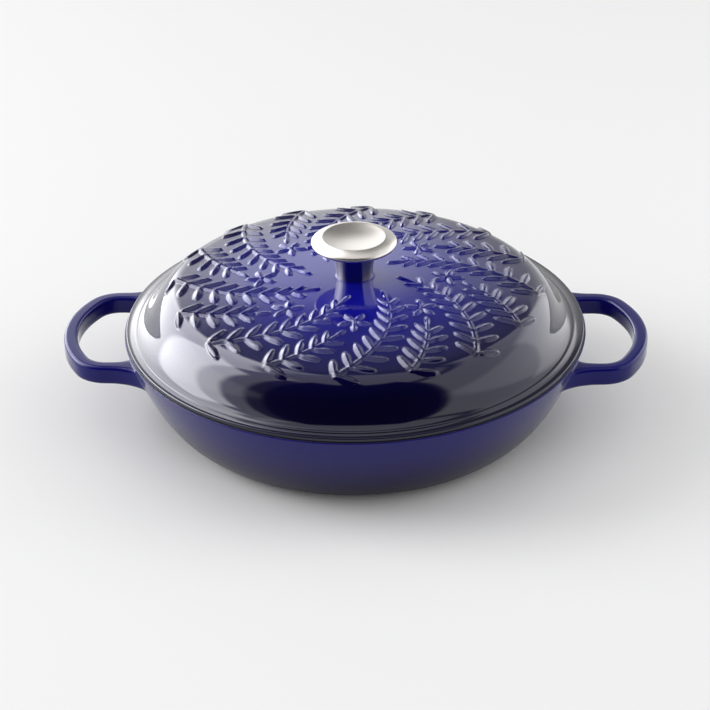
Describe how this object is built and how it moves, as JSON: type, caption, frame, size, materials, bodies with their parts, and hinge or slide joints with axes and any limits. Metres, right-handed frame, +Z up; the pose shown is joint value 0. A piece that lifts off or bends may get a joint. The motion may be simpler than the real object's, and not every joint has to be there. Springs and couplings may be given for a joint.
{
  "type": "braiser",
  "caption": "Shallow round enamelled cast-iron pan with cast loop handles and a lift-off domed lid that carries a steel knob.",
  "frame": {"origin": "centre of the pan's foot ring, on the surface that the pan stands on", "axes": "+X through the middles of both handles, +Z up along the pan's and the lid's common centre line"},
  "size_m": [0.3944, 0.31, 0.1292],
  "materials": {
    "blue_enamel_pan": "cast iron under glossy cobalt blue enamel",
    "pale_enamel_pan": "glossy sand-coloured enamel",
    "black_enamel_pan": "matt black enamel",
    "blue_enamel_lid": "cast iron under glossy cobalt blue enamel",
    "pale_enamel_lid": "glossy sand-coloured enamel",
    "black_enamel_lid": "matt black enamel",
    "brushed_cap": "brushed stainless steel",
    "polished_stem": "polished stainless steel",
    "screw_steel": "stainless steel, bright",
    "washer_steel": "stainless steel, plain"
  },
  "bodies": {
    "pan": {"pan_casting": "blue_enamel_pan", "pan_interior_enamel": "pale_enamel_pan", "pan_rim_enamel": "black_enamel_pan"},
    "lid": {"lid_casting": "blue_enamel_lid", "lid_interior_enamel": "pale_enamel_lid", "lid_rim_enamel": "black_enamel_lid", "knob_cap": "brushed_cap", "knob_stem": "polished_stem", "knob_screw": "screw_steel", "screw_washer": "washer_steel"}
  },
  "joints": [
    {"name": "lid_lift", "type": "slide", "parent": "pan", "child": "lid", "axis": [0, 0, 1], "range_m": [0, 0.15]}
  ]
}
